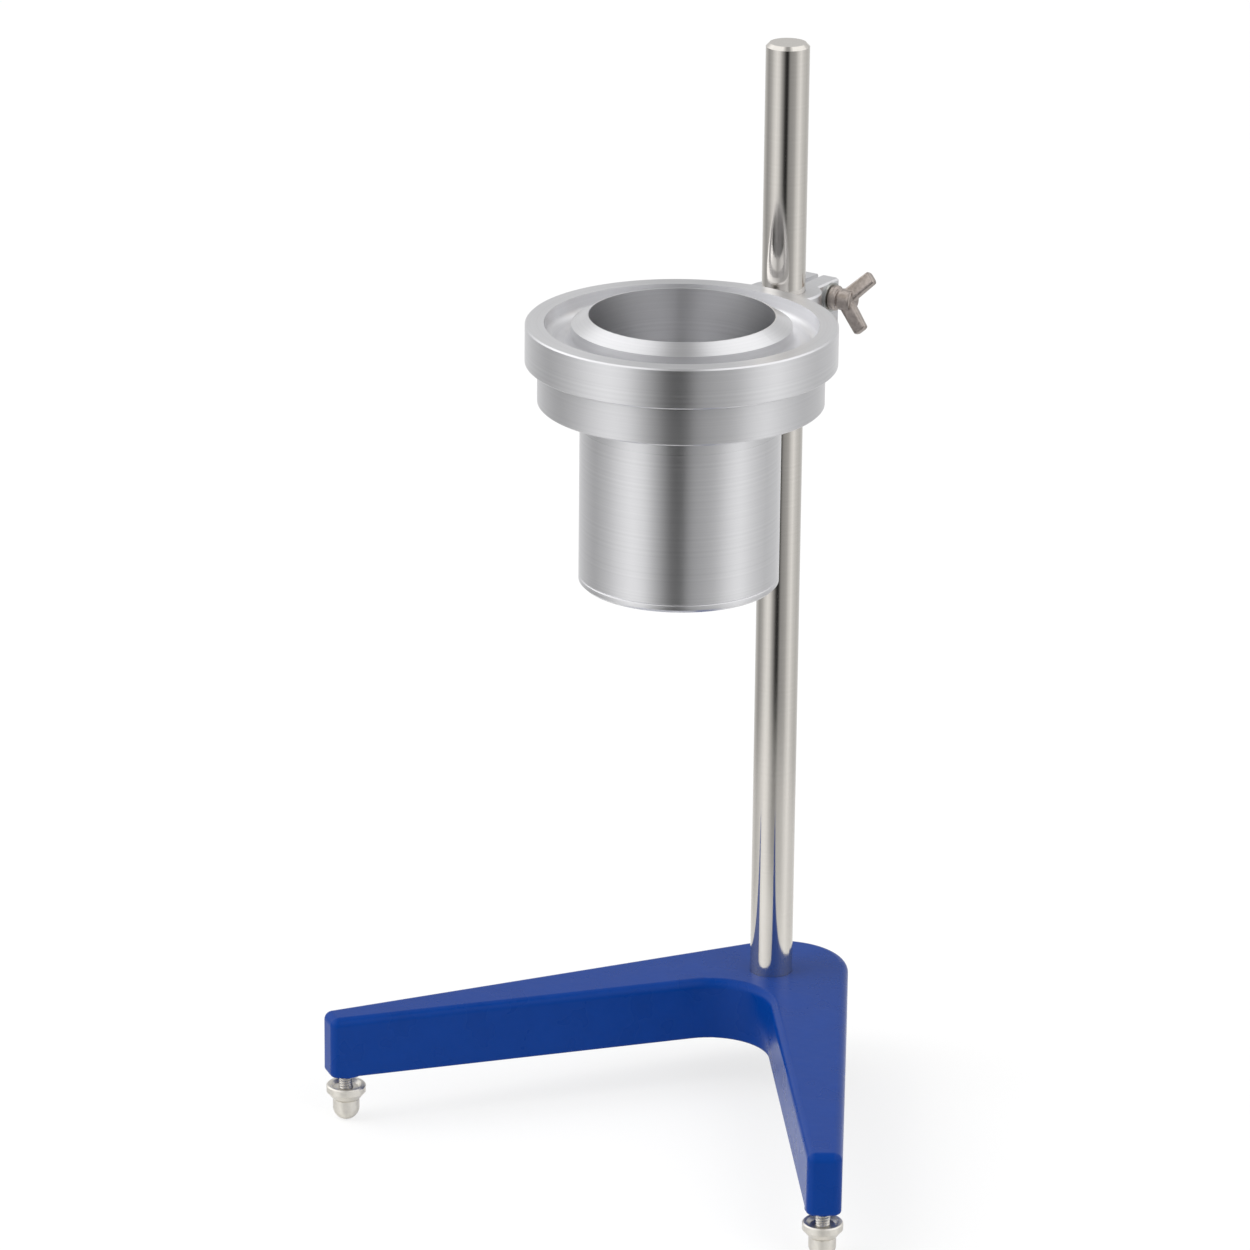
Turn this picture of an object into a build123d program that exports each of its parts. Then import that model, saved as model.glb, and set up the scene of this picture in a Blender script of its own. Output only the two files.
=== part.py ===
"""Flow cup for measuring viscosity, hung in a ring holder on a levelling stand.

Millimetres, +Z up. The pieces are drawn round the rod's axis, from the surface that the
feet stand on, and are moved last so that the origin is in the middle of the footprint.
The stand's two legs open towards -Y, and the cup hangs over the gap between them.
"""

import os
from math import asin, atan2, cos, degrees, radians, sin, sqrt, tan

from build123d import *

# Base casting
foot_lift = 14.0  # surface to the casting's underside
base_height = 17.7
deck_thickness = 5.0
casting_wall = 3.0
top_round = 2.4
bottom_round = 1.0
foot_reach = 124.0  # rod axis to each front foot's axis
leg_half_angle = 39.6  # each front foot, measured from -Y at the rod
tip_half_width = 4.95
tip_overhang = 5.4  # foot axis to the leg's end face
tip_corner = 2.4
apex_radius = 19.0
apex_shift = 5.4  # centre of the round apex behind the rod
crotch_shift = 4.2  # where the inner edges would meet, in front of the rod
crotch_radius = 16.5
rib_thickness = 2.6
rib_stations = (0.42, 0.68)  # shares of the way from the rod to a front foot
rib_drop = 5.0  # the ribs stop this far above the underside
rear_foot_shift = 14.6  # rear foot's axis behind the rod

# Rod and the screw that holds it
rod_radius = 6.0
rod_top = 301.9
rod_chamfer = 1.0
rod_socket_depth = 8.0
rod_boss_wall = 3.4
socket_web = 3.2
rod_screw_radius = 3.0  # M6
rod_screw_reach = 12.0  # thread inside the rod
screw_head_across = 10.0
screw_head_height = 4.0
washer_radius = 6.2
washer_thickness = 1.2
lock_washer_radius = 5.6
lock_washer_thickness = 1.2
lock_washer_gap = 1.4
lock_washer_turn = 20.0  # from +X to the gap

# Clearances
fit_clearance = 0.03  # radial, shafts in their holes
slide_clearance = 0.05  # radial, the rod in the clamp
screw_clearance = 0.3  # radial, screws through plain holes
cup_clearance = 0.4  # radial, the cup's body in the ring
flange_clearance = 0.6  # between the cup's flange and the clamp boss

# Levelling feet
stud_radius = 2.0  # M4
stud_length = 21.0
stud_thread_room = 4.0  # tapped hole above the stud at rest
glide_radius = 3.73
glide_height = 6.5
glide_dome = 3.3
glide_nose = 0.9  # small flat that the dome ends in
glide_socket = 3.2
disc_radius = 5.52
disc_height = 3.8
disc_rim = 2.4
disc_root_radius = 4.1
disc_edge = 0.35
disc_recess_radius = 3.4
disc_recess = 0.9
glide_gap = 0.05  # running gap between disc and glide

# Cup
cup_reach = 50.0  # rod axis to the cup's axis
lip_height = 237.4
bore_radius = 25.0
lip_land = 0.35
lip_slope_width = 4.6
lip_slope_drop = 2.6
rim_drop = 2.3  # the flat rim below the lip
flange_radius = 42.0
gallery_share = 0.589  # of the width between the lip's slope and the flange's edge
flange_depth = 13.3  # lip to the flange's underside
gallery_depth = 7.4  # lip to the bottom of the gallery
gallery_floor_round = 2.4
edge_break = 0.4
body_radius = 27.15
cup_height = 75.0
bore_depth = 45.5  # lip to the start of the cone
cone_angle = 120.0
foot_chamfer = 0.8
line_height = 2.2  # turned line above the body's lower edge
line_depth = 0.25
skirt_wall = 4.6

# Nozzle in the cup's floor
orifice_radius = 2.06
orifice_length = 10.0
nozzle_radius = 6.5
nozzle_flange_radius = 9.0
nozzle_flange = 2.2
nozzle_tip_radius = 3.2
nozzle_tip_length = 2.7
nozzle_tip_flare = 1.0

# Ring holder
ring_radius = 38.6
ring_height = 11.1
ring_edge = 0.4
boss_radius = 10.5
boss_rise = 8.2  # above the cup's seat on the ring
arm_reach = 16.0  # rod axis to the arm's root inside the ring
arm_fillet = 7.0
ear_half_width = 6.2
ear_reach = 19.2  # rod axis to the ears' ends
ear_round = 1.2
slit_width = 2.0
boss_edge = 0.5

# Wing screw across the clamp's ears
screw_drop = 4.3  # below the top of the clamp's boss
screw_shift = 14.3  # rod axis to the screw's axis, away from the cup
clamp_stud_radius = 2.0  # M4
clamp_stud_tip = 0.6  # past the far ear
clamp_washer_radius = 4.0
clamp_washer_thickness = 0.8
collar_radius = 3.55
collar_length = 1.7
neck_radius = 2.5
neck_length = 1.1
hub_radius = 3.0
hub_length = 4.0
wing_span = 8.3  # screw axis to each wing's tip
wing_rise = 5.0  # hub's middle to the tips' middle, along the screw
wing_tip_half_width = 1.9
wing_tip_corner = 0.7
wing_root_radius = 2.3
wing_root_offset = 1.6
wing_thickness = 2.6
wing_turn = 19.4  # the wings' tilt from upright, away from the cup

base_top = foot_lift + base_height
cup_centre = (0, -cup_reach)
flange_seat = lip_height - flange_depth
ring_bottom = flange_seat - ring_height
boss_top = flange_seat + boss_rise
screw_height = boss_top - screw_drop

front_foot_x = foot_reach * sin(radians(leg_half_angle))
front_foot_y = -foot_reach * cos(radians(leg_half_angle))
foot_places = {
    "left": (-front_foot_x, front_foot_y),
    "right": (front_foot_x, front_foot_y),
    "rear": (0, rear_foot_shift),
}

# Edge directions of a leg, measured from -Y: the outer edge is tangent to the apex and
# to the tip, the inner edge runs from the crotch to the tip.
outer_run = sqrt(front_foot_x**2 + (apex_shift - front_foot_y) ** 2)
outer_angle = atan2(front_foot_x, apex_shift - front_foot_y) - asin(
    (apex_radius - tip_half_width) / outer_run
)
inner_run = sqrt(front_foot_x**2 + (-crotch_shift - front_foot_y) ** 2)
inner_angle = atan2(front_foot_x, -crotch_shift - front_foot_y) - asin(
    tip_half_width / inner_run
)
leg_angle = (outer_angle + inner_angle) / 2


def leg_edge_end(edge_angle, side):
    """Where a leg's outer (side 1) or inner (side -1) edge meets the end face's plane."""
    along = (sin(leg_angle), -cos(leg_angle))
    beside = (side * tip_half_width * cos(edge_angle), side * tip_half_width * sin(edge_angle))
    reach = tip_overhang - (beside[0] * along[0] + beside[1] * along[1])
    step = reach / cos(edge_angle - leg_angle)
    return (
        front_foot_x + beside[0] + step * sin(edge_angle),
        front_foot_y + beside[1] - step * cos(edge_angle),
    )


apex_corner = (0, apex_shift + apex_radius / sin(outer_angle))
crotch_corner = (0, -crotch_shift)
outer_tip = leg_edge_end(outer_angle, 1)
inner_tip = leg_edge_end(inner_angle, -1)


def mirrored(point):
    """The same point on the other side of the stand's middle plane."""
    return (-point[0], point[1])


# The casting's plan: a V with a round apex, a round crotch and blunt tips
with BuildSketch() as base_plan:
    with BuildLine():
        Polyline(
            apex_corner,
            outer_tip,
            inner_tip,
            crotch_corner,
            mirrored(inner_tip),
            mirrored(outer_tip),
            close=True,
        )
    make_face()
    plan_corners = base_plan.vertices().sort_by(Axis.Y)
    fillet(plan_corners[:4], tip_corner)
    fillet(base_plan.vertices().sort_by_distance(crotch_corner)[0], crotch_radius)
    fillet(base_plan.vertices().sort_by_distance(apex_corner)[0], apex_radius)

# The pocket on the underside, a wall's width inside that plan
with BuildSketch() as pocket_plan:
    add(base_plan.sketch)
    offset(amount=-casting_wall, kind=Kind.INTERSECTION, mode=Mode.REPLACE)

deck_underside = base_top - deck_thickness
rod_seat = base_top - rod_socket_depth
boss_underside = rod_seat - socket_web
rib_bottom = foot_lift + rib_drop
rod_boss_radius = rod_radius + rod_boss_wall
stud_bottom = glide_height + glide_gap - glide_socket
stud_top = stud_bottom + stud_length
front_feet = [foot_places["left"], foot_places["right"]]

with BuildPart() as base_casting:
    with BuildSketch(Plane.XY.offset(foot_lift)):
        add(base_plan.sketch)
    extrude(amount=base_height)
    fillet(base_casting.faces().sort_by(Axis.Z)[-1].edges(), top_round)
    fillet(base_casting.faces().sort_by(Axis.Z)[0].edges(), bottom_round)
    with BuildSketch(Plane.XY.offset(foot_lift)):
        add(pocket_plan.sketch)
    extrude(amount=base_height - deck_thickness, mode=Mode.SUBTRACT)
    # Bosses for the front feet fill the tips, the rear one grows out of the rod's boss
    with BuildSketch(Plane.XY.offset(foot_lift)):
        with Locations(*front_feet, foot_places["rear"]):
            Circle(tip_half_width)
    extrude(amount=base_height - deck_thickness)
    with BuildSketch(Plane.XY.offset(boss_underside)):
        Circle(rod_boss_radius)
    extrude(amount=deck_underside - boss_underside)
    # Cross ribs stiffen each leg, and one along the middle ties the bosses to the walls
    with BuildSketch(Plane.XY.offset(rib_bottom)):
        for station in rib_stations:
            for side in (-1, 1):
                rib_place = (side * station * front_foot_x, station * front_foot_y)
                with Locations(Location((*rib_place, 0), (0, 0, side * degrees(leg_angle)))):
                    Rectangle(foot_reach, rib_thickness)
        Rectangle(rib_thickness, foot_reach)
        add(pocket_plan.sketch, mode=Mode.INTERSECT)
        Circle(rod_boss_radius, mode=Mode.SUBTRACT)
    extrude(amount=deck_underside - rib_bottom)
    # Rod socket from above, screw hole through its floor, tapped holes for the feet
    with Locations((0, 0, base_top)):
        Hole(rod_radius + fit_clearance, depth=rod_socket_depth)
        Hole(rod_screw_radius + screw_clearance, depth=rod_socket_depth + socket_web)
    with BuildSketch(Plane.XY.offset(foot_lift)):
        with Locations(*foot_places.values()):
            Circle(stud_radius + fit_clearance)
    extrude(amount=stud_top + stud_thread_room - foot_lift, mode=Mode.SUBTRACT)
base_casting.part.label = "base_casting"

with BuildPart() as support_rod:
    with BuildSketch(Plane.XY.offset(rod_seat)):
        Circle(rod_radius)
    extrude(amount=rod_top - rod_seat)
    chamfer(support_rod.edges().filter_by(GeomType.CIRCLE), rod_chamfer)
    with BuildSketch(Plane.XY.offset(rod_seat)):
        Circle(rod_screw_radius + fit_clearance)
    extrude(amount=rod_screw_reach + rod_chamfer, mode=Mode.SUBTRACT)
support_rod.part.label = "support_rod"

with BuildPart() as rod_washer:
    with BuildSketch(Plane.XY.offset(boss_underside)):
        Circle(washer_radius)
        Circle(rod_screw_radius + screw_clearance, mode=Mode.SUBTRACT)
    extrude(amount=-washer_thickness)
rod_washer.part.label = "rod_washer"

washer_underside = boss_underside - washer_thickness
with BuildPart() as rod_lock_washer:
    with BuildSketch(Plane.XY.offset(washer_underside)):
        Circle(lock_washer_radius)
        Circle(rod_screw_radius + screw_clearance, mode=Mode.SUBTRACT)
        with PolarLocations(lock_washer_radius, 1, start_angle=lock_washer_turn):
            Rectangle(lock_washer_radius, lock_washer_gap, mode=Mode.SUBTRACT)
    extrude(amount=-lock_washer_thickness)
rod_lock_washer.part.label = "rod_lock_washer"

head_top = washer_underside - lock_washer_thickness
with BuildPart() as rod_screw:
    with BuildSketch(Plane.XY.offset(head_top)):
        RegularPolygon(screw_head_across / 2, 6, major_radius=False)
    extrude(amount=-screw_head_height)
    chamfer(rod_screw.faces().sort_by(Axis.Z)[0].edges(), edge_break)
    with BuildSketch(Plane.XY.offset(head_top)):
        Circle(rod_screw_radius)
    extrude(amount=rod_seat + rod_screw_reach - head_top)
rod_screw.part.label = "rod_screw"


def disc_profile():
    """Half section of a foot's turned disc: flat rim, conical shoulder, recessed top."""
    rim_bottom = disc_bottom + disc_height - disc_rim
    Polyline(
        (stud_radius, disc_bottom),
        (disc_root_radius, disc_bottom),
        (disc_radius - disc_edge, rim_bottom),
        (disc_radius, rim_bottom + disc_edge),
        (disc_radius, disc_top - disc_edge),
        (disc_radius - disc_edge, disc_top),
        (disc_recess_radius + disc_recess, disc_top),
        (disc_recess_radius, disc_top - disc_recess),
        (stud_radius, disc_top - disc_recess),
        close=True,
    )


dome_centre = (glide_radius**2 + glide_dome**2 - glide_nose**2) / (2 * glide_dome)
dome_radius = sqrt(dome_centre**2 + glide_nose**2)
dome_start = -degrees(atan2(dome_centre, glide_nose))
dome_end = -degrees(atan2(dome_centre - glide_dome, glide_radius))
disc_bottom = glide_height + glide_gap
disc_top = disc_bottom + disc_height
feet = []
for foot_name, (foot_x, foot_y) in foot_places.items():
    foot_plane = Plane((foot_x, foot_y, 0), x_dir=(1, 0, 0), z_dir=(0, -1, 0))
    foot_axis = Axis((foot_x, foot_y, 0), (0, 0, 1))

    with BuildPart() as foot_glide:
        with BuildSketch(foot_plane):
            with BuildLine():
                dome = CenterArc(
                    (0, dome_centre), dome_radius, dome_start, dome_end - dome_start
                )
                Polyline(
                    dome @ 1,
                    (glide_radius, glide_height - edge_break),
                    (glide_radius - edge_break, glide_height),
                    (stud_radius + fit_clearance, glide_height),
                    (stud_radius + fit_clearance, stud_bottom - fit_clearance),
                    (0, stud_bottom - fit_clearance),
                    (0, 0),
                    dome @ 0,
                )
            make_face()
        revolve(axis=foot_axis)
    foot_glide.part.label = f"foot_glide_{foot_name}"

    with BuildPart() as foot_disc:
        with BuildSketch(foot_plane):
            with BuildLine():
                disc_profile()
            make_face()
        revolve(axis=foot_axis)
    foot_disc.part.label = f"foot_disc_{foot_name}"

    with BuildPart() as foot_stud:
        with BuildSketch(Plane.XY.offset(stud_bottom)):
            with Locations((foot_x, foot_y)):
                Circle(stud_radius)
        extrude(amount=stud_length)
        chamfer(foot_stud.edges().filter_by(GeomType.CIRCLE), edge_break)
    foot_stud.part.label = f"foot_stud_{foot_name}"
    feet += [foot_glide, foot_disc, foot_stud]

# The cup is turned in one piece; its half section runs from the lip outwards
cone_run = tan(radians(90 - cone_angle / 2))  # the cone's drop for each mm of radius
cup_bottom = lip_height - cup_height
rim_height = lip_height - rim_drop
gallery_floor = lip_height - gallery_depth
lip_slope_radius = bore_radius + lip_slope_width
gallery_width = (flange_radius - lip_slope_radius) * gallery_share
rim_inner_radius = lip_slope_radius + gallery_width
floor_round = min(gallery_floor_round, gallery_width / 3)
cone_start = lip_height - bore_depth
nozzle_top = cone_start - (bore_radius - nozzle_radius) * cone_run
orifice_top = cone_start - (bore_radius - orifice_radius) * cone_run
nozzle_tip = orifice_top - orifice_length
nozzle_seat = nozzle_tip + nozzle_tip_length + nozzle_flange
recess_radius = nozzle_flange_radius + fit_clearance
recess_face = nozzle_seat - nozzle_flange
skirt_radius = body_radius - skirt_wall
skirt_ceiling = recess_face + (skirt_radius - recess_radius) * cone_run
line_middle = cup_bottom + line_height
cup_plane = Plane((*cup_centre, 0), x_dir=(1, 0, 0), z_dir=(0, -1, 0))
cup_axis = Axis((*cup_centre, 0), (0, 0, 1))
gallery_corners = [
    (lip_slope_radius + edge_break, gallery_floor),
    (rim_inner_radius - edge_break, gallery_floor),
]

with BuildPart() as cup_body:
    with BuildSketch(cup_plane) as cup_section:
        with BuildLine():
            Polyline(
                (bore_radius, lip_height),
                (bore_radius + lip_land, lip_height),
                (lip_slope_radius, lip_height - lip_slope_drop),
                gallery_corners[0],
                gallery_corners[1],
                (rim_inner_radius, rim_height),
                (flange_radius - edge_break, rim_height),
                (flange_radius, rim_height - edge_break),
                (flange_radius, flange_seat + edge_break),
                (flange_radius - edge_break, flange_seat),
                (body_radius, flange_seat),
                (body_radius, line_middle + line_depth),
                (body_radius - line_depth, line_middle),
                (body_radius, line_middle - line_depth),
                (body_radius, cup_bottom + foot_chamfer),
                (body_radius - foot_chamfer, cup_bottom),
                (skirt_radius, cup_bottom),
                (skirt_radius, skirt_ceiling),
                (recess_radius, recess_face),
                (recess_radius, nozzle_seat),
                (nozzle_radius + fit_clearance, nozzle_seat),
                (nozzle_radius + fit_clearance, nozzle_top - fit_clearance * cone_run),
                (bore_radius, cone_start),
                close=True,
            )
        make_face()
        for corner in gallery_corners:
            fillet(cup_section.vertices().sort_by_distance(corner)[0], floor_round)
    revolve(axis=cup_axis)
cup_body.part.label = "cup_body"

with BuildPart() as orifice_nozzle:
    with BuildSketch(cup_plane):
        with BuildLine():
            Polyline(
                (orifice_radius, orifice_top),
                (nozzle_radius, nozzle_top),
                (nozzle_radius, nozzle_seat),
                (nozzle_flange_radius, nozzle_seat),
                (nozzle_flange_radius, recess_face),
                (nozzle_tip_radius + nozzle_tip_flare, recess_face),
                (nozzle_tip_radius, nozzle_tip),
                (orifice_radius, nozzle_tip),
                close=True,
            )
        make_face()
    revolve(axis=cup_axis)
orifice_nozzle.part.label = "orifice_nozzle"

# The holder's plan: a ring, and a boss round the rod with two ears behind it
with BuildSketch() as boss_plan:
    Circle(boss_radius)
    with Locations((0, ear_reach / 2)):
        Rectangle(2 * ear_half_width, ear_reach)
    fillet(boss_plan.vertices().group_by(Axis.Y)[-1], ear_round)

with BuildSketch() as ring_plan:
    with Locations(cup_centre):
        Circle(ring_radius)
    with Locations((0, -arm_reach / 2)):
        Rectangle(2 * boss_radius, arm_reach)
    arm_corners = ring_plan.vertices().filter_by(lambda corner: corner.Y < -arm_fillet)
    fillet(arm_corners, arm_fillet)

with BuildPart() as ring_holder:
    with BuildSketch(Plane.XY.offset(ring_bottom)):
        add(ring_plan.sketch)
    extrude(amount=ring_height)
    chamfer(ring_holder.faces().sort_by(Axis.Z)[0].edges(), ring_edge)
    with BuildSketch(Plane.XY.offset(ring_bottom)):
        add(boss_plan.sketch)
    extrude(amount=boss_top - ring_bottom)
    chamfer(ring_holder.faces().sort_by(Axis.Z)[-1].edges(), boss_edge)
    # The boss is relieved above the ring, so that the cup's flange passes it
    with BuildSketch(Plane.XY.offset(flange_seat)):
        with Locations(cup_centre):
            Circle(flange_radius + flange_clearance)
    extrude(amount=boss_top - flange_seat, mode=Mode.SUBTRACT)
    # Through the ring goes the cup's body, through the boss the rod
    with BuildSketch(Plane.XY.offset(ring_bottom)):
        with Locations(cup_centre):
            Circle(body_radius + cup_clearance)
        Circle(rod_radius + slide_clearance)
        with Locations((0, ear_reach / 2)):
            Rectangle(slit_width, ear_reach)
    extrude(amount=boss_top - ring_bottom, mode=Mode.SUBTRACT)
    # The wing screw passes the near ear and is threaded into the far one
    with BuildSketch(Plane.YZ):
        with Locations((screw_shift, screw_height)):
            Circle(clamp_stud_radius + screw_clearance)
    extrude(amount=ear_half_width, mode=Mode.SUBTRACT)
    with BuildSketch(Plane.YZ):
        with Locations((screw_shift, screw_height)):
            Circle(clamp_stud_radius + fit_clearance)
    extrude(amount=-ear_half_width, mode=Mode.SUBTRACT)
ring_holder.part.label = "ring_holder"

screw_line = Axis((0, screw_shift, screw_height), (1, 0, 0))
with BuildPart() as clamp_washer:
    with BuildSketch(Plane.YZ.offset(ear_half_width)):
        with Locations((screw_shift, screw_height)):
            Circle(clamp_washer_radius)
            Circle(clamp_stud_radius + fit_clearance, mode=Mode.SUBTRACT)
    extrude(amount=clamp_washer_thickness)
clamp_washer.part.label = "clamp_washer"

head_start = ear_half_width + clamp_washer_thickness
neck_start = head_start + collar_length
hub_start = neck_start + neck_length
hub_end = hub_start + hub_length
hub_middle = (hub_start + hub_end) / 2
screw_plane = Plane((0, screw_shift, screw_height), x_dir=(1, 0, 0), z_dir=(0, -1, 0))
wing_plane = screw_plane.rotated((-wing_turn, 0, 0))
wing_tip_offset = wing_span - wing_tip_half_width
wing_lean = degrees(atan2(wing_rise, wing_tip_offset - wing_root_offset))

with BuildPart() as clamp_stud:
    with BuildSketch(Plane.YZ.offset(-ear_half_width - clamp_stud_tip)):
        with Locations((screw_shift, screw_height)):
            Circle(clamp_stud_radius)
    extrude(amount=hub_middle + ear_half_width + clamp_stud_tip)
    chamfer(clamp_stud.edges().filter_by(GeomType.CIRCLE), edge_break)
clamp_stud.part.label = "clamp_stud"

with BuildPart() as wing_head:
    with BuildSketch(screw_plane):
        with BuildLine():
            Polyline(
                (head_start, 0),
                (head_start, collar_radius),
                (neck_start, collar_radius),
                (neck_start, neck_radius),
                (hub_start, neck_radius),
                (hub_start, hub_radius),
                (hub_end, hub_radius),
                (hub_end, 0),
                close=True,
            )
        make_face()
    revolve(axis=screw_line)
    # Each wing is a bar that runs from the hub out to a square tip
    with BuildSketch(wing_plane):
        for side in (-1, 1):
            with BuildSketch(mode=Mode.PRIVATE) as paddle:
                with Locations((hub_middle, side * wing_root_offset)):
                    Circle(wing_root_radius)
                tip_place = (hub_middle + wing_rise, side * wing_tip_offset)
                with Locations(Location((*tip_place, 0), (0, 0, -side * wing_lean))):
                    RectangleRounded(
                        2 * wing_tip_half_width, 2 * wing_tip_half_width, wing_tip_corner
                    )
                make_hull()
            add(paddle.sketch)
    extrude(amount=wing_thickness / 2, both=True)
    with BuildSketch(Plane.YZ.offset(head_start)):
        with Locations((screw_shift, screw_height)):
            Circle(clamp_stud_radius)
    extrude(amount=hub_middle - head_start, mode=Mode.SUBTRACT)
wing_head.part.label = "wing_head"

pieces = [
    base_casting,
    support_rod,
    rod_washer,
    rod_lock_washer,
    rod_screw,
    *feet,
    cup_body,
    orifice_nozzle,
    ring_holder,
    clamp_washer,
    clamp_stud,
    wing_head,
]
os.makedirs("parts", exist_ok=True)
footprint = base_plan.sketch.bounding_box()
to_origin = Location((0, -footprint.center().Y, 0))
for piece in pieces:
    placed = piece.part.moved(to_origin)
    export_step(placed, f"parts/{placed.label}.step")
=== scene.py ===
# %% [markdown]
# # A flow cup on its levelling stand
#
# The object is a turned aluminium flow cup that hangs in a ring holder. The holder clamps
# on a polished rod, and the rod stands in a blue enamelled casting on three levelling
# feet. The solids come ready from the CAD model, so this lesson gives them their finishes,
# cuts the threads that the solids leave plain, and lights them as in the photograph.

from math import cos, pi, radians, sin

import bpy
import numpy as np
from mathutils import Matrix, Vector


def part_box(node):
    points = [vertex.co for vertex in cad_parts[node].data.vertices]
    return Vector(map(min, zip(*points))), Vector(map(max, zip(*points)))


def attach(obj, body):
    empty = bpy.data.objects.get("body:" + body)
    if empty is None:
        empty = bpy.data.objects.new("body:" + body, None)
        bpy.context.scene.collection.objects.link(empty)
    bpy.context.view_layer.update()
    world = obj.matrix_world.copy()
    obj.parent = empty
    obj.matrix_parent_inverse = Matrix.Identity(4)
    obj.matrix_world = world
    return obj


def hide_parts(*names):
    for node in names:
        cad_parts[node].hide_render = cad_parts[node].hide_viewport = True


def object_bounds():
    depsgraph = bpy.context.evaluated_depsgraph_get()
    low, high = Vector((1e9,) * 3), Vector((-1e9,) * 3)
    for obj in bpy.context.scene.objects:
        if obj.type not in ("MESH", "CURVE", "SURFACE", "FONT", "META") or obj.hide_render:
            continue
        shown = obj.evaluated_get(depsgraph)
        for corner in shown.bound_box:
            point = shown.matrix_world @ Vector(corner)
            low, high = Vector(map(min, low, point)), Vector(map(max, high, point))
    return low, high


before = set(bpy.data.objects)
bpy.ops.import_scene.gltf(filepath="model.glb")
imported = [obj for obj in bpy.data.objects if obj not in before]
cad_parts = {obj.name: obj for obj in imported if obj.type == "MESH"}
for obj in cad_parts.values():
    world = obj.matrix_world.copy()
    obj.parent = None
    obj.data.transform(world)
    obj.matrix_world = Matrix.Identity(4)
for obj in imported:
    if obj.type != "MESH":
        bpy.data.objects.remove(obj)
cad_low, cad_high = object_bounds()
MM = 0.001
size_in_mm = [round(v / MM, 1) for v in cad_high - cad_low]
print("solids", len(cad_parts), "size in mm", size_in_mm)

# %% [markdown]
# ## Where things are
#
# Every place is read from the solids, so that a finish keeps to its piece when a size
# changes. The rod's axis and the cup's axis are the two that matter: the metal round each
# of them was turned on a lathe, and its fine grooves run round that axis.

# %% The two turning axes


def middle(node_name):
    """The middle of a solid's box: half the sum of its lowest and highest corners."""
    low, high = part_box(node_name)
    return (low + high) / 2


rod_axis = middle("support_rod")
cup_axis = middle("cup_body")
screw_axis = middle("clamp_washer")
print("rod axis", rod_axis[:2], "cup axis", cup_axis[:2])

# %% [markdown]
# ## The camera
#
# The photograph was taken with a long lens from a little above, so that upright lines
# stay almost parallel. One could place a camera by eye. Here its place was worked out from
# the outlines of the rod, the cup and the base: it stands 34 degrees to the right of the
# stand's open side and looks down by 19.5 degrees, with a slight roll.

# %% Camera
VIEW_AZIMUTH = radians(34.05)
VIEW_DOWN = radians(19.5)
VIEW_ROLL = radians(0.586)
CAMERA_FROM_ROD = Vector((927.6, -1448.3, 743.61)) * MM
FRAME_WIDTH = 36.0  # mm, the width that the lens is given for
LENS = 188.84  # mm
FAR_END = 50.0  # metres that the camera sees

camera = bpy.data.objects.new("camera", bpy.data.cameras.new("camera"))
bpy.context.scene.collection.objects.link(camera)
camera.data.lens = LENS
camera.data.sensor_width = FRAME_WIDTH
camera.data.clip_end = FAR_END
camera.matrix_world = (
    Matrix.Translation(CAMERA_FROM_ROD + Vector((rod_axis.x, rod_axis.y, 0)))
    @ Matrix.Rotation(VIEW_AZIMUTH, 4, "Z")
    @ Matrix.Rotation(pi / 2 - VIEW_DOWN, 4, "X")
    @ Matrix.Rotation(VIEW_ROLL, 4, "Z")
)
bpy.context.scene.camera = camera
bpy.context.scene.view_settings.view_transform = "Standard"
print("camera at", [round(v, 3) for v in camera.matrix_world.translation])

# %% [markdown]
# ## Small helpers for node trees
#
# A finish is a tree of nodes, which could be drawn by hand in the shader editor. In code
# it stays readable if one function adds a node, sets it up and links it. Colours are
# written as sRGB hex values, as one reads them off a picture, and Blender wants them
# linear, so a second function turns them. The others start a material, finish it, and
# fill a colour ramp from a list of greys.

# %% Colour and node helpers


def srgb(hex_colour):
    """Linear RGBA of an sRGB hex colour: each channel through the sRGB curve."""
    channels = [int(hex_colour[i : i + 2], 16) / 255 for i in (1, 3, 5)]
    linear = [c / 12.92 if c <= 0.04045 else ((c + 0.055) / 1.055) ** 2.4 for c in channels]
    return (*linear, 1.0)


def add(tree, kind, inputs=(), **settings):
    """A new node of this kind, with its settings, and with values or links as inputs."""
    made = tree.nodes.new("ShaderNode" + kind)
    for name, value in settings.items():
        setattr(made, name, value)
    for name, value in dict(inputs).items():
        if isinstance(value, bpy.types.NodeSocket):
            tree.links.new(value, made.inputs[name])
        else:
            made.inputs[name].default_value = value
    return made


def new_material(name):
    """An empty material with its output node, and the node tree to fill."""
    material = bpy.data.materials.new(name)
    material.use_nodes = True
    material.node_tree.nodes.clear()
    return material, material.node_tree


def finish_material(tree, surface):
    """Links a shader node's result to the material's output."""
    add(tree, "OutputMaterial", {"Surface": surface.outputs[0]})


def grey_ramp(tree, factor, stops):
    """A ramp of greys over the factor, from a list of place from 0 to 1 and grey."""
    ramp = add(tree, "ValToRGB", {"Fac": factor})
    elements = ramp.color_ramp.elements
    while len(elements) < len(stops):
        elements.new(0.5)
    for element, (place, grey) in zip(elements, stops):
        element.position = place
        element.color = (grey, grey, grey, 1.0)
    return ramp.outputs["Color"]


# %% [markdown]
# ## The room that the metal shows
#
# Polished metal has no colour of its own to speak of: it shows the room. The bands on the
# rod and on the cup come from two light screens left and right of the camera, a dark gap
# where the camera stands, and a greyer room behind them. Screens could be built as
# glowing sheets, but then each band's soft edge would need its own sheet. Here the world
# is drawn as brightness against the angle round the object, counted from the camera's
# side. Seen from a little above, upright walls show the low part of the room, and level
# faces show the upper part, so the two parts have a list each.

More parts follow.
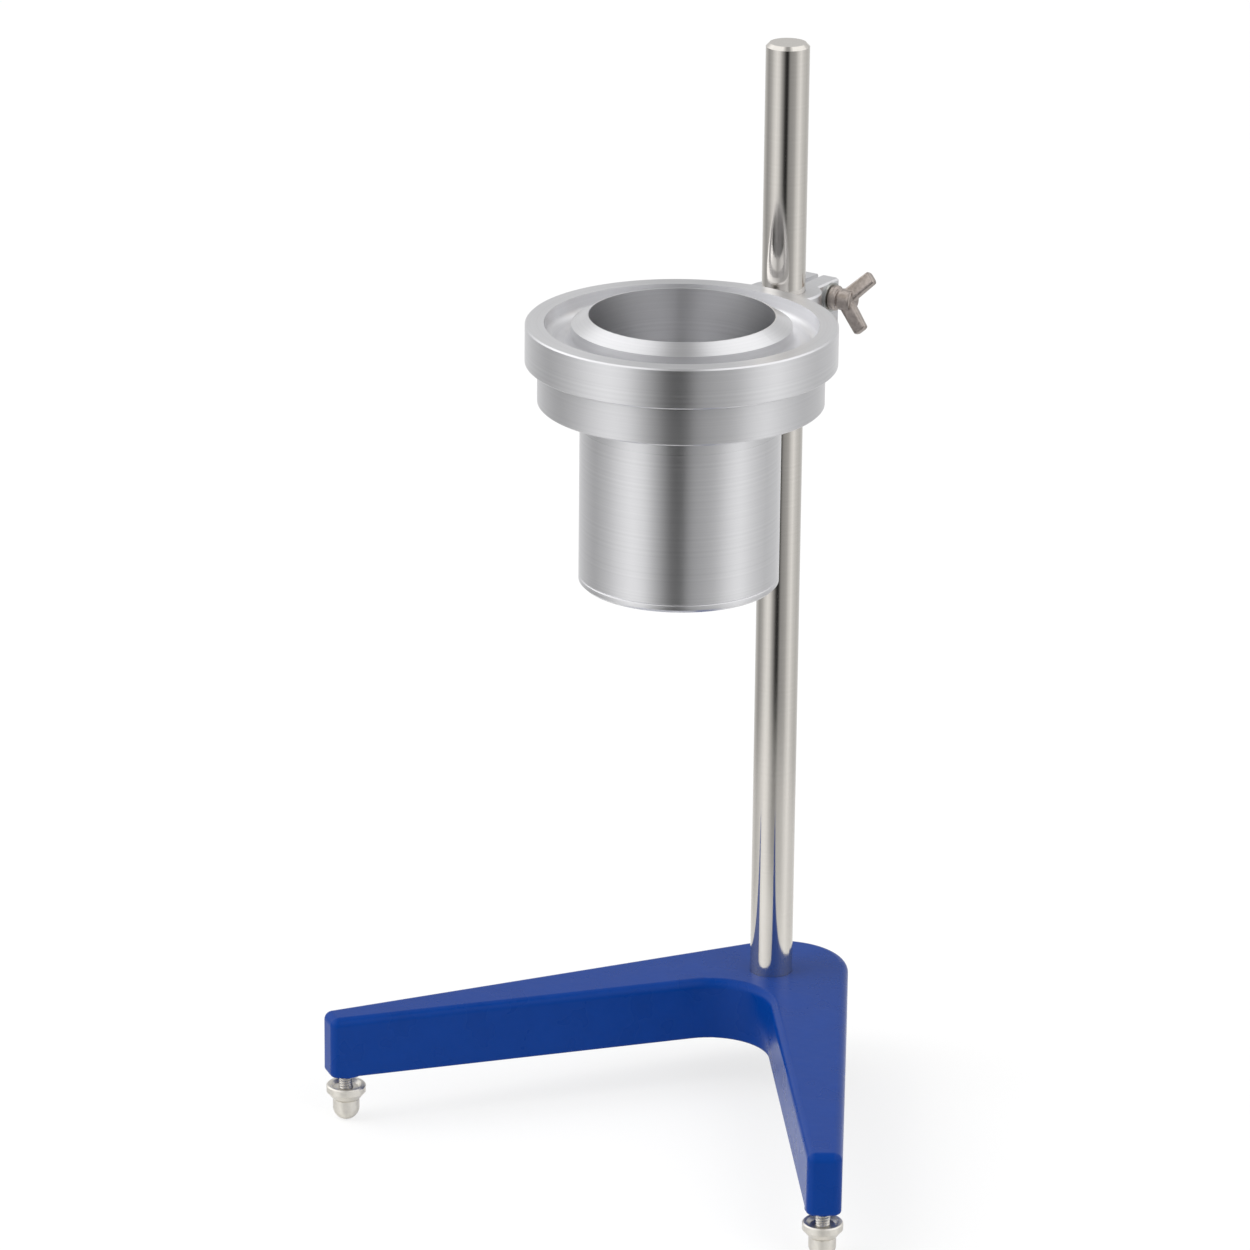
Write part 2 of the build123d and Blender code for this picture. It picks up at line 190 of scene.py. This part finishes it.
# %% Brightness of the room
LOW_ROOM = (  # degrees round from the camera's side, brightness
    (-180, 0.90),
    (-145, 0.62),
    (-113, 0.38),
    (-91, 0.52),
    (-73, 0.80),
    (-57, 0.98),
    (-42, 0.85),
    (-30, 0.50),
    (-20, 0.26),
    (-11, 0.06),
    (-2, 0.02),
    (4, 0.07),
    (10, 0.26),
    (17, 0.35),
    (30, 0.41),
    (42, 0.49),
    (57, 0.78),
    (73, 0.97),
    (91, 0.76),
    (113, 0.58),
    (145, 0.66),
    (180, 0.90),
)
UPPER_ROOM = (
    (-180, 0.68),
    (-150, 0.80),
    (-120, 1.50),
    (-90, 2.00),
    (-50, 1.30),
    (-25, 0.65),
    (0, 0.50),
    (25, 0.60),
    (55, 1.10),
    (90, 1.30),
    (120, 1.00),
    (150, 0.66),
    (180, 0.68),
)
SKYLIGHT_MIDDLE = 0.42  # straight overhead, between two light panels
SKYLIGHT_PANEL = 1.25
print("low room", len(LOW_ROOM), "values, upper room", len(UPPER_ROOM), "values")

# %% [markdown]
# ## The directions of the room
#
# A direction's three numbers say where it points. Its height tells the low part, the
# upper part and the overhead part apart, and its way round is read from the other two.

# %% Directions
UPPER_STARTS = (0.05, 0.25)  # heights of a direction that the upper part fades in over
OVERHEAD_STARTS = (0.45, 0.70)
PANEL_STARTS = (0.08, 0.30)  # sideways, from the gap to the panels overhead
TURN = 360.0  # degrees

world = bpy.data.worlds.new("room")
bpy.context.scene.world = world
world.use_nodes = True
tree = world.node_tree
tree.nodes.clear()
direction = add(tree, "TexCoord").outputs["Generated"]
turned = add(
    tree, "VectorRotate", {"Vector": direction, "Angle": -VIEW_AZIMUTH}, rotation_type="Z_AXIS"
)
parts = add(tree, "SeparateXYZ", {0: turned.outputs[0]})
towards_camera = add(tree, "Math", {0: parts.outputs["Y"], 1: -1.0}, operation="MULTIPLY")
angle = add(
    tree, "Math", {0: parts.outputs["X"], 1: towards_camera.outputs[0]}, operation="ARCTAN2"
)
share = add(tree, "MapRange", {0: angle.outputs[0], 1: -pi, 2: pi, 3: 0.0, 4: 1.0})
height = parts.outputs["Z"]
upper = add(tree, "MapRange", {0: height, 1: UPPER_STARTS[0], 2: UPPER_STARTS[1]})
overhead = add(tree, "MapRange", {0: height, 1: OVERHEAD_STARTS[0], 2: OVERHEAD_STARTS[1]})
sideways = add(tree, "Math", {0: parts.outputs["X"]}, operation="ABSOLUTE")
low_stops, upper_stops = (
    [(0.5 + degrees_round / TURN, grey) for degrees_round, grey in room_part]
    for room_part in (LOW_ROOM, UPPER_ROOM)
)
print("upper part fades in over", UPPER_STARTS, "overhead over", OVERHEAD_STARTS)

# %% World
skylight = add(
    tree,
    "MapRange",
    {
        0: sideways.outputs[0],
        1: PANEL_STARTS[0],
        2: PANEL_STARTS[1],
        3: SKYLIGHT_MIDDLE,
        4: SKYLIGHT_PANEL,
    },
)
room = add(
    tree,
    "MixRGB",
    {
        "Fac": upper.outputs[0],
        "Color1": grey_ramp(tree, share.outputs[0], low_stops),
        "Color2": grey_ramp(tree, share.outputs[0], upper_stops),
    },
)
blend = add(
    tree,
    "MixRGB",
    {"Fac": overhead.outputs[0], "Color1": room.outputs[0], "Color2": skylight.outputs[0]},
)
is_camera = add(tree, "LightPath").outputs["Is Camera Ray"]
seen = add(
    tree,
    "MixRGB",
    {"Fac": is_camera, "Color1": blend.outputs[0], "Color2": (1.0, 1.0, 1.0, 1.0)},
)
background = add(tree, "Background", {"Color": seen.outputs[0], "Strength": 1.0})
add(tree, "OutputWorld", {"Surface": background.outputs[0]})
print(world.name, "drawn with", len(tree.nodes), "nodes")

# %% [markdown]
# ## Floor and lamps
#
# The floor is plain and pale. Polished metal shows it as a bright pool round the object
# that fades out within 0.3 m, as the photograph has it on the feet and on the rod's lower
# end. Farther out its rays pass the floor and see the room. To the camera most of the
# floor's brightness is its own, so that it is as white as the photograph's backdrop and
# still keeps a soft shadow under the feet. Two large soft lamps give that shadow and the
# light on the enamel. Mirrors don't see them: the room's screens stand for them there.

# %% Floor paint
FLOOR_GLOW = 0.72  # share of the floor's look that is plain white to the camera
FLOOR_POOL = (  # metres from the middle, share of the floor that metal doesn't see
    (0.10, 0.35),
    (0.15, 0.68),
    (0.225, 0.72),
    (0.295, 1.0),
)
POOL_REACH = 0.4  # metres that the ramp spans

floor_material, tree = new_material("pale_floor_paint")
paint_coat = add(tree, "BsdfPrincipled", {"Base Color": srgb("#F6F6F5"), "Roughness": 0.9})
glow = add(tree, "Emission", {"Color": (1.0, 1.0, 1.0, 1.0), "Strength": 1.0})
light_path = add(tree, "LightPath").outputs
glow_share = add(
    tree, "Math", {0: light_path["Is Camera Ray"], 1: FLOOR_GLOW}, operation="MULTIPLY"
)
seen_floor = add(
    tree,
    "MixShader",
    {0: glow_share.outputs[0], 1: paint_coat.outputs[0], 2: glow.outputs[0]},
)
out_from_middle = add(
    tree, "VectorMath", {0: add(tree, "TexCoord").outputs["Object"]}, operation="LENGTH"
)
pool_place = add(
    tree, "Math", {0: out_from_middle.outputs["Value"], 1: POOL_REACH}, operation="DIVIDE"
)
pool_stops = [(distance / POOL_REACH, hidden) for distance, hidden in FLOOR_POOL]
pool = grey_ramp(tree, pool_place.outputs[0], pool_stops)
passed = add(
    tree, "Math", {0: light_path["Is Glossy Ray"], 1: pool}, operation="MULTIPLY"
)
nothing = add(tree, "BsdfTransparent")
finish_material(
    tree,
    add(
        tree,
        "MixShader",
        {0: passed.outputs[0], 1: seen_floor.outputs[0], 2: nothing.outputs[0]},
    ),
)
print(floor_material.name, "fades out for metal at", FLOOR_POOL[-1][0], "m")

# %% Floor plane
FLOOR_HALF = 8.0  # metres from its middle to its edges
floor_mesh = bpy.data.meshes.new("floor")
floor_mesh.from_pydata(
    [(x * FLOOR_HALF, y * FLOOR_HALF, 0.0) for x, y in ((-1, -1), (1, -1), (1, 1), (-1, 1))],
    [],
    [(0, 1, 2, 3)],
)
floor_mesh.materials.append(floor_material)
floor = bpy.data.objects.new("floor", floor_mesh)
bpy.context.scene.collection.objects.link(floor)
print(floor.name, "is", 2 * FLOOR_HALF, "m wide")


# %% Lamps
def soft_lamp(name, place, aim, size, power):
    """A square area lamp at a place, turned to aim at a point, in metres and watts."""
    lamp = bpy.data.lights.new(name, "AREA")
    lamp.shape = "SQUARE"
    lamp.size = size
    lamp.energy = power
    holder = bpy.data.objects.new(name, lamp)
    bpy.context.scene.collection.objects.link(holder)
    facing = (Vector(aim) - Vector(place)).to_track_quat("-Z", "Y")
    holder.matrix_world = Matrix.Translation(place) @ facing.to_matrix().to_4x4()
    holder.visible_glossy = False
    return holder


AIM = (0.0, 0.0, 0.15)  # metres, halfway up the stand
LAMPS = (  # name, place in metres, size in metres, power in watts
    ("left_lamp", (-1.1, -1.1, 1.6), 1.4, 16.0),
    ("right_lamp", (1.9, -0.6, 1.5), 1.2, 9.0),
)
for name, place, size, power in LAMPS:
    soft_lamp(name, place, AIM, size, power)
    print(name, "gives", power, "W from", size, "m")

# %% [markdown]
# ## New pieces from rings of points
#
# The solids leave the threads plain and the wing screw blocky. Both could be modelled by
# hand with extrusions and a screw modifier. Here they are worked out as surfaces: a stack
# of closed rings, each with the same number of points. One function turns any such stack
# into a mesh, and each piece only has to say where its points lie.

# %% A closed surface through rings


def ring_mesh(name, rings):
    """A closed mesh through rings of points, shaped (rings, points, 3): each ring is joined
    to the next by quads, and a fan of triangles closes the first and the last ring."""
    count, around = rings.shape[:2]
    points = np.vstack([rings.reshape(-1, 3), rings[:1].mean(1), rings[-1:].mean(1)])
    here = np.arange(around)
    after = (here + 1) % around
    first = around * np.arange(count - 1)[:, None]
    quads = np.stack(
        [first + here, first + after, first + around + after, first + around + here], -1
    )
    low_fan = np.stack([np.full(around, count * around), after, here], -1)
    high_fan = np.stack([np.full(around, count * around + 1), here, after], -1)
    high_fan[:, 1:] += around * (count - 1)
    mesh = bpy.data.meshes.new(name)
    mesh.from_pydata(
        points, [], quads.reshape(-1, 4).tolist() + low_fan.tolist() + high_fan.tolist()
    )
    mesh.shade_smooth()
    made = bpy.data.objects.new(name, mesh)
    bpy.context.scene.collection.objects.link(made)
    return made


# %% [markdown]
# ## Threads
#
# The levelling feet and the wing screw are M4 screws: a ridge that climbs 0.7 mm in each
# turn. A bump in the material would look flat at the outline, so the ridge is real
# geometry. On a cylinder unrolled to a sheet it is a set of slanted straight lines, so its
# height is a wave of one number, the height in pitches less the share of a turn. The wave
# is a triangle, as the flanks of a rolled thread are straight, and it runs out over the
# last pitch at each end, where the point is chamfered.

# %% A threaded stud
M4_PITCH = 0.7 * MM
M4_DEPTH = 0.38 * MM
ROWS_PER_TURN = 10
POINTS_ROUND = 36


def threaded_stud(name, start, length, radius, axis="Z"):
    """A thread on a stud from a start point along an axis: each point's distance from the
    axis is the radius less the depth times a triangle wave of (height / pitch - turn)."""
    height = np.linspace(0, length, int(length / M4_PITCH * ROWS_PER_TURN))[:, None]
    turn = np.arange(POINTS_ROUND)[None, :] / POINTS_ROUND
    ridge = np.abs(2 * ((height / M4_PITCH - turn) % 1) - 1)
    run_out = np.clip(np.minimum(height, length - height) / M4_PITCH, 0, 1)
    distance = radius - M4_DEPTH * (1 - ridge * run_out)
    beside = distance * np.cos(2 * pi * turn)
    across = distance * np.sin(2 * pi * turn)
    along = height + 0 * turn
    order = (beside, across, along) if axis == "Z" else (along, beside, across)
    return ring_mesh(name, np.stack(order, -1) + np.array(start))


print("a turn has", ROWS_PER_TURN * POINTS_ROUND, "points")

# %% Threads of the feet
FEET = ("left", "right", "rear")

for place in FEET:
    low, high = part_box(f"foot_stud_{place}")
    centre = (low + high) / 2
    stud = threaded_stud(
        f"threaded_foot_{place}",
        (centre.x, centre.y, low.z),
        high.z - low.z,
        (high.x - low.x) / 2,
    )
    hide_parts(f"foot_stud_{place}")
    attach(stud, f"foot_screw_{place}")
    print(stud.name, len(stud.data.polygons), "faces")

# %% Thread of the wing screw
low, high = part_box("clamp_stud")
clamp_thread = threaded_stud(
    "threaded_clamp_stud",
    (low.x, screw_axis.y, screw_axis.z),
    high.x - low.x,
    (high.z - low.z) / 2,
    axis="X",
)
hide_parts("clamp_stud")
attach(clamp_thread, "wing_screw")
print(clamp_thread.name, len(clamp_thread.data.polygons), "faces")

# %% [markdown]
# ## The wing head
#
# A wing head is cast in one piece: a collar, a short neck, a hub, and two bars that lean
# away from the clamp so that fingers can turn them. It could be sculpted from one block.
# Here the hub is a profile turned round the screw's axis, and each bar is a rounded square
# carried along a straight line, so that every size can be read off. A fine voxel remesh
# melts the three shells into one skin, and smoothing it leaves the soft inner corners of
# a casting.

# %% The hub of the wing head
HUB_PROFILE = np.array(  # mm along the screw from the washer, mm from its axis
    [
        (0.0, 3.2), (0.3, 3.5), (1.4, 3.5), (1.7, 3.2), (1.75, 2.85), (2.0, 2.95),
        (2.35, 2.9), (2.45, 2.45), (2.75, 2.45), (2.85, 2.85), (3.1, 3.05), (6.3, 3.05),
        (6.65, 2.85), (6.8, 2.4),
    ]
) * MM
HUB_POINTS_ROUND = 72
head_start = np.array((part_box("wing_head")[0].x, screw_axis.y, screw_axis.z))


def turned_hub(profile, points_round):
    """The profile carried round the screw's axis: (along, r cos t, r sin t)."""
    angle_round = 2 * pi * np.arange(points_round) / points_round
    along = profile[:, :1] + 0 * angle_round
    out = profile[:, 1:]
    rings = np.stack([along, out * np.cos(angle_round), out * np.sin(angle_round)], -1)
    return ring_mesh("wing_hub", rings + head_start)


hub = turned_hub(HUB_PROFILE, HUB_POINTS_ROUND)
print(hub.name, len(hub.data.polygons), "faces")

# %% The bars of the wing head
BAR_ROOT = (4.9, 1.2)  # mm along the screw from the washer, and from its axis
BAR_END = (11.1, 7.6)
BAR_WIDTH = (2.15, 1.95)  # half widths at root and end, in mm
BAR_THICKNESS = (1.35, 1.2)  # half thicknesses at root and end, in mm
BAR_RINGS = 26
BAR_POINTS_ROUND = 40
BAR_CORNER = 5  # power of the superellipse: 2 is round, and more is squarer
END_ROUND = 0.1  # share of the bar's length over which its end rounds
END_ROUND_POWER = 3
END_SIZE = 0.65  # of the full size, left where the end closes
WING_TURN = radians(19.4)  # the bars' tilt from upright


def cast_bar(name, side):
    """A rounded square (a superellipse) carried from root to end. Its size changes evenly
    on the way and closes over the last part as the end's corners round."""
    share = np.linspace(0, 1, BAR_RINGS)[:, None]
    angle_round = side * 2 * pi * np.arange(BAR_POINTS_ROUND)[None, :] / BAR_POINTS_ROUND
    root, end = np.array(BAR_ROOT), np.array(BAR_END)
    run = (end - root) / np.linalg.norm(end - root)
    middle_line = root + (end - root) * share
    into_end = np.clip((share - (1 - END_ROUND)) / END_ROUND, 0, 1)
    rounding = (1 - into_end**END_ROUND_POWER) ** (1 / END_ROUND_POWER)
    closing = END_SIZE + (1 - END_SIZE) * rounding
    powers = [np.abs(wave(angle_round)) ** BAR_CORNER for wave in (np.cos, np.sin)]
    blunt = sum(powers) ** (-1 / BAR_CORNER)
    width = (BAR_WIDTH[0] + (BAR_WIDTH[1] - BAR_WIDTH[0]) * share) * closing
    thickness = (BAR_THICKNESS[0] + (BAR_THICKNESS[1] - BAR_THICKNESS[0]) * share) * closing
    beside = width * blunt * np.cos(angle_round)
    depth = thickness * blunt * np.sin(angle_round)
    along = middle_line[:, :1] - run[1] * beside
    out = side * (middle_line[:, 1:] + run[0] * beside)
    rings = np.stack(
        [
            along,
            out * sin(WING_TURN) + depth * cos(WING_TURN),
            out * cos(WING_TURN) - depth * sin(WING_TURN),
        ],
        -1,
    )
    return ring_mesh(name, rings * MM + head_start)


bars = [cast_bar("bar_up", 1), cast_bar("bar_down", -1)]
print([bar.name for bar in bars], "of", len(bars[0].data.polygons), "faces each")

# %% Wing head in one skin
SKIN_VOXEL = 0.14 * MM
SOFTENING = 0.5  # how far each pass moves a point to its neighbours' middle
SOFTENING_PASSES = 3

shells = [hub, *bars]
with bpy.context.temp_override(active_object=shells[0], selected_editable_objects=shells):
    bpy.ops.object.join()
wing = shells[0]
wing.name = "cast_wing_head"
melt = wing.modifiers.new("melt", "REMESH")
melt.mode = "VOXEL"
melt.voxel_size = SKIN_VOXEL
melt.use_smooth_shade = True
soften = wing.modifiers.new("soften", "SMOOTH")
soften.factor = SOFTENING
soften.iterations = SOFTENING_PASSES
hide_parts("wing_head")
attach(wing, "wing_screw")
print(wing.name, "from 3 shells, box in mm", [round(v / MM, 1) for v in wing.dimensions])

# %% [markdown]
# ## Blue enamel on the casting
#
# The base is cast iron with a glossy stove enamel. The casting's skin is a little wavy
# under the paint, so reflections on it swim. The waves could be displaced geometry, but
# they are so shallow that only the reflections tell, and a bump does that. A wide, shallow
# noise gives the waves, and a finer one the orange peel of the spray.

# %% Blue enamel
WAVE_LENGTH = 9.0 * MM
WAVE_DEPTH = 0.3 * MM
WAVE_STRENGTH = 0.25
PEEL_LENGTH = 1.1 * MM
PEEL_DEPTH = 0.05 * MM
PEEL_STRENGTH = 0.12
ENAMEL_IOR = 1.5
ENAMEL_SHINE = 0.12  # half is usual; the photograph's enamel shows little of the room
ENAMEL_ROUGHNESS = (0.24, 0.32)


def blue_enamel():
    """Stove enamel: a deep blue dielectric with waves and orange peel as bump."""
    material, tree = new_material("blue_stove_enamel_on_cast_iron")
    place = add(tree, "TexCoord").outputs["Object"]
    waves = add(tree, "TexNoise", {"Vector": place, "Scale": 1 / WAVE_LENGTH, "Detail": 2.0})
    peel = add(tree, "TexNoise", {"Vector": place, "Scale": 1 / PEEL_LENGTH, "Detail": 1.0})
    tint = add(
        tree,
        "MixRGB",
        {"Fac": waves.outputs["Fac"], "Color1": srgb("#00327D"), "Color2": srgb("#023888")},
    )
    gloss = add(
        tree,
        "MapRange",
        {0: waves.outputs["Fac"], 3: ENAMEL_ROUGHNESS[0], 4: ENAMEL_ROUGHNESS[1]},
    )
    wavy = add(
        tree,
        "Bump",
        {"Height": waves.outputs["Fac"], "Strength": WAVE_STRENGTH, "Distance": WAVE_DEPTH},
    )
    peeled = add(
        tree,
        "Bump",
        {
            "Height": peel.outputs["Fac"],
            "Strength": PEEL_STRENGTH,
            "Distance": PEEL_DEPTH,
            "Normal": wavy.outputs[0],
        },
    )
    finish_material(
        tree,
        add(
            tree,
            "BsdfPrincipled",
            {
                "Base Color": tint.outputs[0],
                "Roughness": gloss.outputs[0],
                "IOR": ENAMEL_IOR,
                "Specular IOR Level": ENAMEL_SHINE,
                "Normal": peeled.outputs[0],
            },
        ),
    )
    return material


enamel = blue_enamel()
print(enamel.name, "with waves of", round(WAVE_LENGTH / MM, 1), "mm")

# %% [markdown]
# ## Turned metal
#
# A lathe leaves fine grooves round the axis. They scatter light across themselves and
# hardly along themselves, so a highlight on turned metal is drawn out across the grooves:
# up and down on the cup's side, outwards on its flat rim. Grooves cut into the mesh would
# take millions of faces. Anisotropy does the same, with its tangent across the grooves.
# Grooves of a tenth of a millimetre are too fine to show, so rings of noise several times
# as wide stand for the places where they catch the light.

# %% Turned metal
RING_WIDTH = 0.7 * MM
RING_DETAIL = 4.0
GROOVE_DEPTH = 0.02 * MM
ROUGHNESS_RANGE = (0.85, 1.15)  # of the mean roughness, from ring to ring


def turned_metal(name, hex_dark, hex_light, axis, roughness, spread, ring_strength):
    """Metal turned round an upright axis. On a wall the rings are noise along the height,
    on a level face noise along the radius, mixed by how far the face looks upwards. The
    tangent is the way round the axis crossed with the normal."""
    material, tree = new_material(name)
    place = add(tree, "TexCoord").outputs["Object"]
    from_axis = add(
        tree, "VectorMath", {0: place, 1: (axis.x, axis.y, 0.0)}, operation="SUBTRACT"
    )
    split = add(tree, "SeparateXYZ", {0: from_axis.outputs[0]})
    flat = add(tree, "CombineXYZ", {0: split.outputs["X"], 1: split.outputs["Y"]})
    radius = add(tree, "VectorMath", {0: flat.outputs[0]}, operation="LENGTH")
    normal = add(tree, "NewGeometry").outputs["Normal"]
    upward = add(tree, "SeparateXYZ", {0: normal}).outputs["Z"]
    level = add(tree, "Math", {0: upward}, operation="ABSOLUTE")
    rings_along = [
        add(
            tree,
            "TexNoise",
            {"W": along, "Scale": 1 / RING_WIDTH, "Detail": RING_DETAIL},
            noise_dimensions="1D",
        )
        for along in (split.outputs["Z"], radius.outputs["Value"])
    ]
    rings = add(
        tree,
        "MixRGB",
        {
            "Fac": level.outputs[0],
            "Color1": rings_along[0].outputs["Fac"],
            "Color2": rings_along[1].outputs["Fac"],
        },
    ).outputs[0]
    tint = add(
        tree,
        "MixRGB",
        {"Fac": rings, "Color1": srgb(hex_dark), "Color2": srgb(hex_light)},
    )
    smoothest, roughest = (roughness * share for share in ROUGHNESS_RANGE)
    rough = add(tree, "MapRange", {0: rings, 3: smoothest, 4: roughest})
    grooves = add(
        tree, "Bump", {"Height": rings, "Strength": ring_strength, "Distance": GROOVE_DEPTH}
    )
    way_round = add(
        tree, "VectorMath", {0: (0.0, 0.0, 1.0), 1: flat.outputs[0]}, operation="CROSS_PRODUCT"
    )
    in_room = add(
        tree,
        "VectorTransform",
        {0: way_round.outputs[0]},
        vector_type="VECTOR",
        convert_from="OBJECT",
        convert_to="WORLD",
    )
    across = add(
        tree, "VectorMath", {0: in_room.outputs[0], 1: normal}, operation="CROSS_PRODUCT"
    )
    tangent = add(tree, "VectorMath", {0: across.outputs[0]}, operation="NORMALIZE")
    finish_material(
        tree,
        add(
            tree,
            "BsdfPrincipled",
            {
                "Base Color": tint.outputs[0],
                "Metallic": 1.0,
                "Roughness": rough.outputs[0],
                "Anisotropic": spread,
                "Tangent": tangent.outputs[0],
                "Normal": grooves.outputs[0],
            },
        ),
    )
    return material


# %% The turned metals
cup_metal = turned_metal(
    "fine_turned_aluminium", "#DADADC", "#E8E8EA", cup_axis, 0.3, 0.88, 0.35
)
holder_metal = turned_metal(
    "turned_ring_aluminium", "#D4D4D6", "#E4E4E6", cup_axis, 0.32, 0.85, 0.3
)
rod_metal = turned_metal(
    "ground_and_polished_stainless_steel", "#D6D2CC", "#DEDAD4", rod_axis, 0.11, 0.3, 0.1
)
nozzle_metal = turned_metal(
    "turned_stainless_steel", "#C6C4C0", "#D2D0CC", cup_axis, 0.22, 0.5, 0.4
)
print([metal.name for metal in (cup_metal, holder_metal, rod_metal, nozzle_metal)])

# %% [markdown]
# ## Small plated parts
#
# The feet, the washers and the wing screw are turned or cast and then plated. They are
# small, so one could give them a single plain colour. What shows on the real ones is a
# satin metal with a little mottling, brighter where it is smooth and browner in the dips
# of the casting's skin, and one noise drives all of that.

# %% Plated metal
MOTTLE_DETAIL = 3.0
MOTTLE_STRENGTH = 0.5
SATIN_RANGE = (0.8, 1.2)  # of the mean roughness, from spot to spot


def plated_metal(name, hex_dark, hex_light, roughness, grain, grain_depth):
    """Satin plating: two tones and a bump from noise whose grain is given in metres."""
    material, tree = new_material(name)
    place = add(tree, "TexCoord").outputs["Object"]
    mottle = add(
        tree, "TexNoise", {"Vector": place, "Scale": 1 / grain, "Detail": MOTTLE_DETAIL}
    )
    tint = add(
        tree,
        "MixRGB",
        {"Fac": mottle.outputs["Fac"], "Color1": srgb(hex_dark), "Color2": srgb(hex_light)},
    )
    smoothest, roughest = (roughness * share for share in SATIN_RANGE)
    rough = add(tree, "MapRange", {0: mottle.outputs["Fac"], 3: smoothest, 4: roughest})
    skin = add(
        tree,
        "Bump",
        {
            "Height": mottle.outputs["Fac"],
            "Strength": MOTTLE_STRENGTH,
            "Distance": grain_depth,
        },
    )
    finish_material(
        tree,
        add(
            tree,
            "BsdfPrincipled",
            {
                "Base Color": tint.outputs[0],
                "Metallic": 1.0,
                "Roughness": rough.outputs[0],
                "Normal": skin.outputs[0],
            },
        ),
    )
    return material


# %% The platings
nickel = plated_metal(
    "nickel_plated_steel", "#D6D2CA", "#ECE8E0", 0.36, 1.2 * MM, 0.02 * MM
)
cast_nickel = plated_metal(
    "dull_nickel_on_a_casting", "#8C847E", "#C8BEB8", 0.3, 0.8 * MM, 0.1 * MM
)
zinc = plated_metal("zinc_plated_steel", "#A9AAA8", "#C8C9C6", 0.3, 1.5 * MM, 0.02 * MM)
print([plating.name for plating in (nickel, cast_nickel, zinc)])

# %% [markdown]
# ## Finishes on their pieces
#
# Each solid takes the finish of the real piece. A solid's object stays where it is, and
# only its material changes. One could pick the pieces by hand, but a list of names says at
# a glance what is made of what.

# %% Give the finishes


def paint(material, *names):
    """These solids or pieces get this material and no other."""
    for name in names:
        mesh = bpy.data.objects[name].data
        mesh.materials.clear()
        mesh.materials.append(material)
    print(material.name, "on", ", ".join(names))


paint(enamel, "base_casting")
paint(cup_metal, "cup_body")
paint(holder_metal, "ring_holder")
paint(rod_metal, "support_rod")
paint(nozzle_metal, "orifice_nozzle")
for place in FEET:
    paint(nickel, f"foot_disc_{place}", f"foot_glide_{place}", f"threaded_foot_{place}")
paint(cast_nickel, "cast_wing_head")
paint(zinc, "threaded_clamp_stud", "clamp_washer", "rod_screw", "rod_washer", "rod_lock_washer")
